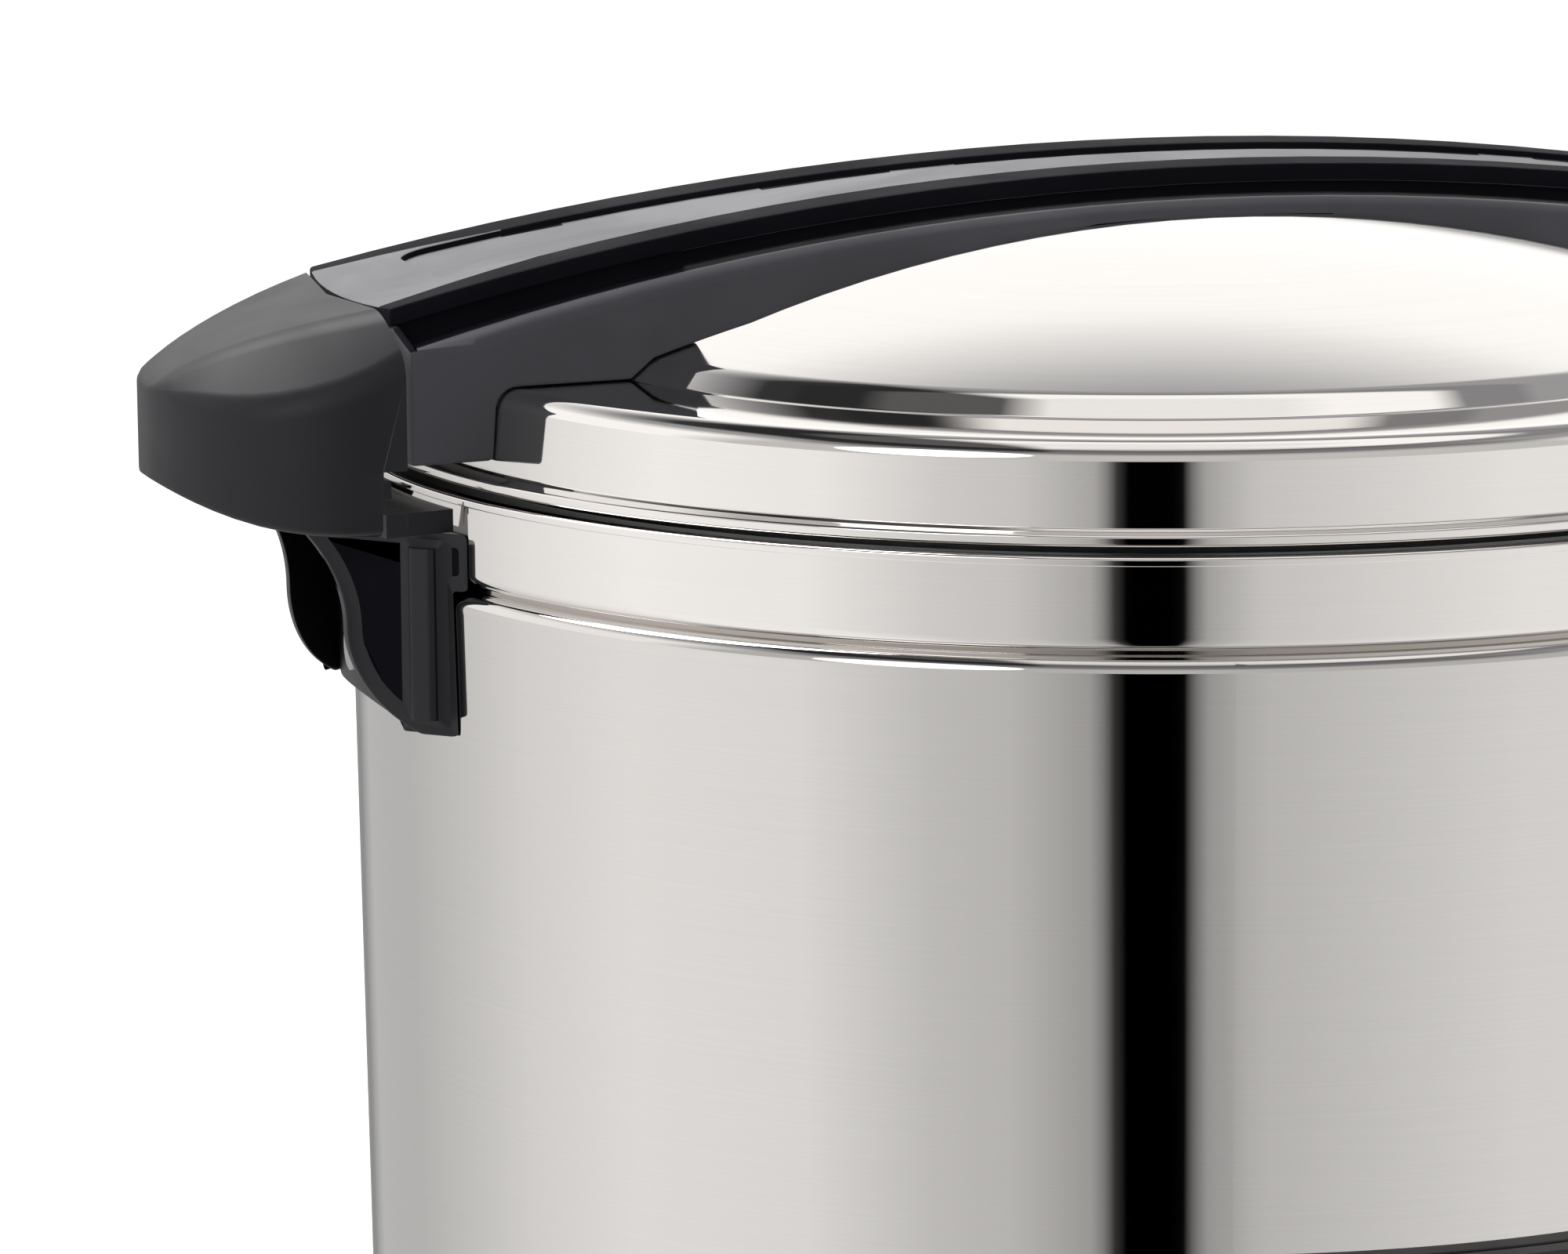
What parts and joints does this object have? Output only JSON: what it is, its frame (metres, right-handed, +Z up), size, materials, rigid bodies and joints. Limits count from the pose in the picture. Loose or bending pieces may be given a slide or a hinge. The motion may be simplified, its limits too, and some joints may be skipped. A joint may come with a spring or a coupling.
{
  "type": "electric pressure cooker",
  "caption": "Round electric pressure cooker with tapered steel housing, domed locking lid, arched lid handle, side grips, front control panel and lift-out pot.",
  "frame": {"origin": "on the table under the middle of the pot", "axes": "+Z up, control panel towards -Y, side grips along X"},
  "size_m": [0.3576, 0.29, 0.2914],
  "materials": {
    "housing_steel": "satin polished stainless steel",
    "lid_steel": "polished stainless steel",
    "inner_steel": "plain stainless steel",
    "pot_aluminium": "grey non-stick coating",
    "shell_metal": "plain drawn steel",
    "cast_aluminium": "machined casting",
    "bracket_steel": "zinc plated",
    "screw_steel": "zinc plated",
    "handle_plastic": "satin charcoal",
    "cover_plastic": "satin grey",
    "black_plastic": "fine texture",
    "button_plastic": "satin grey",
    "display_glass": "smoked window",
    "display_dark": "display block",
    "board_green": "solder mask",
    "silicone": "translucent white silicone",
    "foot_rubber": "black rubber"
  },
  "bodies": {
    "base": {"outer_housing": "housing_steel", "top_collar": "housing_steel", "base_pan": "black_plastic", "support_posts": "shell_metal", "base_screws": "screw_steel", "rubber_feet": "foot_rubber", "outer_pot": "shell_metal", "heating_plate": "cast_aluminium", "thermostat_holder": "bracket_steel", "thermostat_spring": "bracket_steel", "left_handle": "handle_plastic", "right_handle": "handle_plastic", "left_bracket": "handle_plastic", "right_bracket": "handle_plastic", "handle_screws": "screw_steel", "control_panel": "black_plastic", "display_lens": "display_glass", "display_module": "display_dark", "circuit_board": "board_green", "power_inlet": "black_plastic", "inlet_pins": "inner_steel"},
    "thermostat": {"thermostat_cup": "cast_aluminium"},
    "pot": {"inner_pot": "pot_aluminium"},
    "liner": {"inner_lid": "inner_steel", "sealing_gasket": "silicone", "liner_grommet": "silicone"},
    "lid": {"lid_shell": "lid_steel", "lid_plate": "inner_steel", "lid_post": "inner_steel", "lid_handle": "handle_plastic", "handle_cover": "cover_plastic", "lid_handle_screws": "screw_steel", "exhaust_pipe": "inner_steel", "anti_block_cap": "inner_steel", "float_bushing": "inner_steel"},
    "release_valve": {"release_knob": "black_plastic"},
    "float_pin": {"float_valve": "inner_steel"},
    "mode_button": {"button_mode": "button_plastic"},
    "pressure_button": {"button_pressure": "button_plastic"},
    "time_button": {"button_time": "button_plastic"},
    "warm_button": {"button_warm": "button_plastic"},
    "start_button": {"button_start": "button_plastic"},
    "cancel_button": {"button_cancel": "button_plastic"}
  },
  "joints": [
    {"name": "lid_lift", "type": "slide", "parent": "base", "child": "liner", "axis": [0, 0, 1], "range_m": [0, 0.36]},
    {"name": "lid_turn", "type": "hinge", "parent": "liner", "child": "lid", "pos_m": [0, 0, 0.245], "axis": [0, 0, 1], "range_deg": [0, 30]},
    {"name": "pot_lift", "type": "slide", "parent": "base", "child": "pot", "axis": [0, 0, 1], "range_m": [0, 0.18]},
    {"name": "thermostat_press", "type": "slide", "parent": "base", "child": "thermostat", "axis": [0, 0, -1], "range_m": [0, 0.003], "stiffness_N_per_m": 800, "springref_m": -0.001, "deforming": ["thermostat_spring"]},
    {"name": "release_turn", "type": "hinge", "parent": "lid", "child": "release_valve", "pos_m": [0, 0.078, 0.28], "axis": [0, 0, 1], "range_deg": [0, 45]},
    {"name": "float_rise", "type": "slide", "parent": "lid", "child": "float_pin", "axis": [0, 0, 1], "range_m": [0, 0.004]},
    {"name": "press_mode", "type": "slide", "parent": "base", "child": "mode_button", "axis": [0, 1, 0], "range_m": [0, 0.0008], "stiffness_N_per_m": 900, "springref_m": -0.0006},
    {"name": "press_pressure", "type": "slide", "parent": "base", "child": "pressure_button", "axis": [0, 1, 0], "range_m": [0, 0.0008], "stiffness_N_per_m": 900, "springref_m": -0.0006},
    {"name": "press_time", "type": "slide", "parent": "base", "child": "time_button", "axis": [0, 1, 0], "range_m": [0, 0.0008], "stiffness_N_per_m": 900, "springref_m": -0.0006},
    {"name": "press_warm", "type": "slide", "parent": "base", "child": "warm_button", "axis": [0, 1, 0], "range_m": [0, 0.0008], "stiffness_N_per_m": 900, "springref_m": -0.0006},
    {"name": "press_start", "type": "slide", "parent": "base", "child": "start_button", "axis": [0, 1, 0], "range_m": [0, 0.0008], "stiffness_N_per_m": 900, "springref_m": -0.0006},
    {"name": "press_cancel", "type": "slide", "parent": "base", "child": "cancel_button", "axis": [0, 1, 0], "range_m": [0, 0.0008], "stiffness_N_per_m": 900, "springref_m": -0.0006}
  ],
  "couplings": [
    {"joint": "pot_lift", "follows": "lid_lift", "ratio": 0.5}
  ]
}
